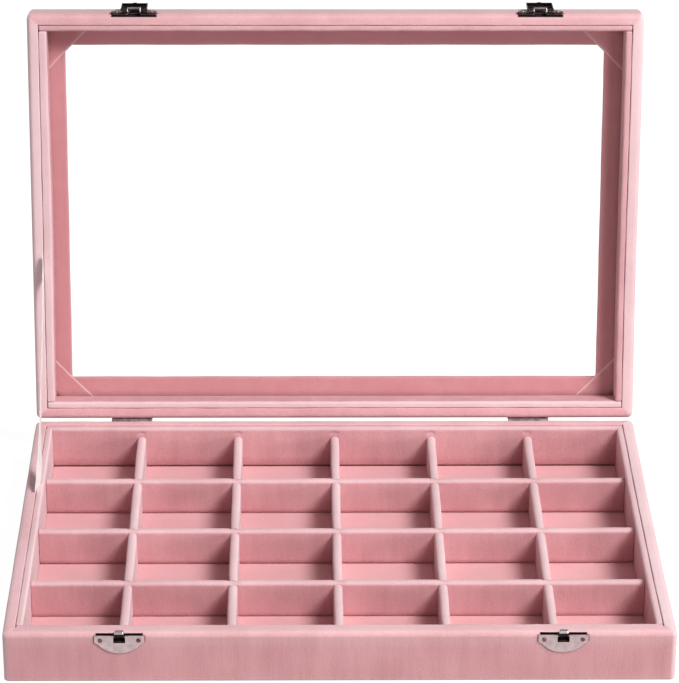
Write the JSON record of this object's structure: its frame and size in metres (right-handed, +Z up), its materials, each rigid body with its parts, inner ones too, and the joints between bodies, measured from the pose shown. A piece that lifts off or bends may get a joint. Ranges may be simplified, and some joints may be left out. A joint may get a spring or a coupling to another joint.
{
  "type": "jewelry display tray",
  "caption": "Shallow velvet-covered box with a divided compartment tray, a hinged glass lid held open by a ribbon stay, and two front lever latches.",
  "frame": {"origin": "centre of the tray's underside, on the surface it stands on", "axes": "+X to the right along the tray's long side, +Y towards the hinges at the back, +Z up"},
  "size_m": [0.35, 0.3034, 0.2673],
  "materials": {
    "velvet": "short-pile pink velvet",
    "velvet_card": "short-pile pink velvet over stiff card",
    "fibreboard": "medium-density fibreboard, unfinished",
    "felt": "thin flocked felt",
    "clear_glass": "clear float glass",
    "bright_nickel": "bright nickel plate",
    "dark_nickel": "polished dark nickel plate",
    "satin": "white satin ribbon"
  },
  "bodies": {
    "tray": {"tray_front_board": "fibreboard", "tray_back_board": "fibreboard", "tray_left_board": "fibreboard", "tray_right_board": "fibreboard", "tray_bottom_board": "fibreboard", "tray_underside_cover": "felt", "tray_velvet_wrap": "velvet", "tray_liner_front": "velvet_card", "tray_liner_back": "velvet_card", "tray_liner_left": "velvet_card", "tray_liner_right": "velvet_card", "tray_floor_pad": "velvet_card", "divider_long_1": "velvet_card", "divider_long_2": "velvet_card", "divider_long_3": "velvet_card", "divider_long_4": "velvet_card", "divider_long_5": "velvet_card", "divider_cross_1": "velvet_card", "divider_cross_2": "velvet_card", "divider_cross_3": "velvet_card", "strike_plate_left": "bright_nickel", "strike_plate_right": "bright_nickel", "strike_plate_nails": "bright_nickel", "hinge_tray_leaf_left": "dark_nickel", "hinge_tray_leaf_right": "dark_nickel", "hinge_pin_left": "dark_nickel", "hinge_pin_right": "dark_nickel", "hinge_tray_nails": "dark_nickel", "lid_stay_ribbon": "satin"},
    "lid": {"lid_front_rail": "fibreboard", "lid_back_rail": "fibreboard", "lid_left_rail": "fibreboard", "lid_right_rail": "fibreboard", "lid_lip_front": "fibreboard", "lid_lip_back": "fibreboard", "lid_lip_left": "fibreboard", "lid_lip_right": "fibreboard", "lid_velvet_wrap": "velvet", "lid_corner_patches": "velvet", "lid_liner_front": "velvet_card", "lid_liner_back": "velvet_card", "lid_liner_left": "velvet_card", "lid_liner_right": "velvet_card", "lid_glass": "clear_glass", "hinge_lid_leaf_left": "dark_nickel", "hinge_lid_leaf_right": "dark_nickel", "hinge_lid_nails": "dark_nickel", "latch_plate_left": "dark_nickel", "latch_plate_right": "dark_nickel", "latch_plate_nails": "dark_nickel"},
    "latch_left": {"latch_lever_left": "dark_nickel", "latch_pin_left": "dark_nickel"},
    "latch_right": {"latch_lever_right": "dark_nickel", "latch_pin_right": "dark_nickel"}
  },
  "joints": [
    {"name": "lid_hinge", "type": "hinge", "parent": "tray", "child": "lid", "pos_m": [0, 0.1207, 0.02785], "axis": [1, 0, 0], "range_deg": [0, 99.75], "deforming": ["lid_stay_ribbon"]},
    {"name": "latch_left_pivot", "type": "hinge", "parent": "lid", "child": "latch_left", "pos_m": [-0.1138, 0.16637, 0.26616], "axis": [1, 0, 0], "range_deg": [0, 177]},
    {"name": "latch_right_pivot", "type": "hinge", "parent": "lid", "child": "latch_right", "pos_m": [0.1161, 0.16637, 0.26616], "axis": [1, 0, 0], "range_deg": [0, 175.5]}
  ]
}
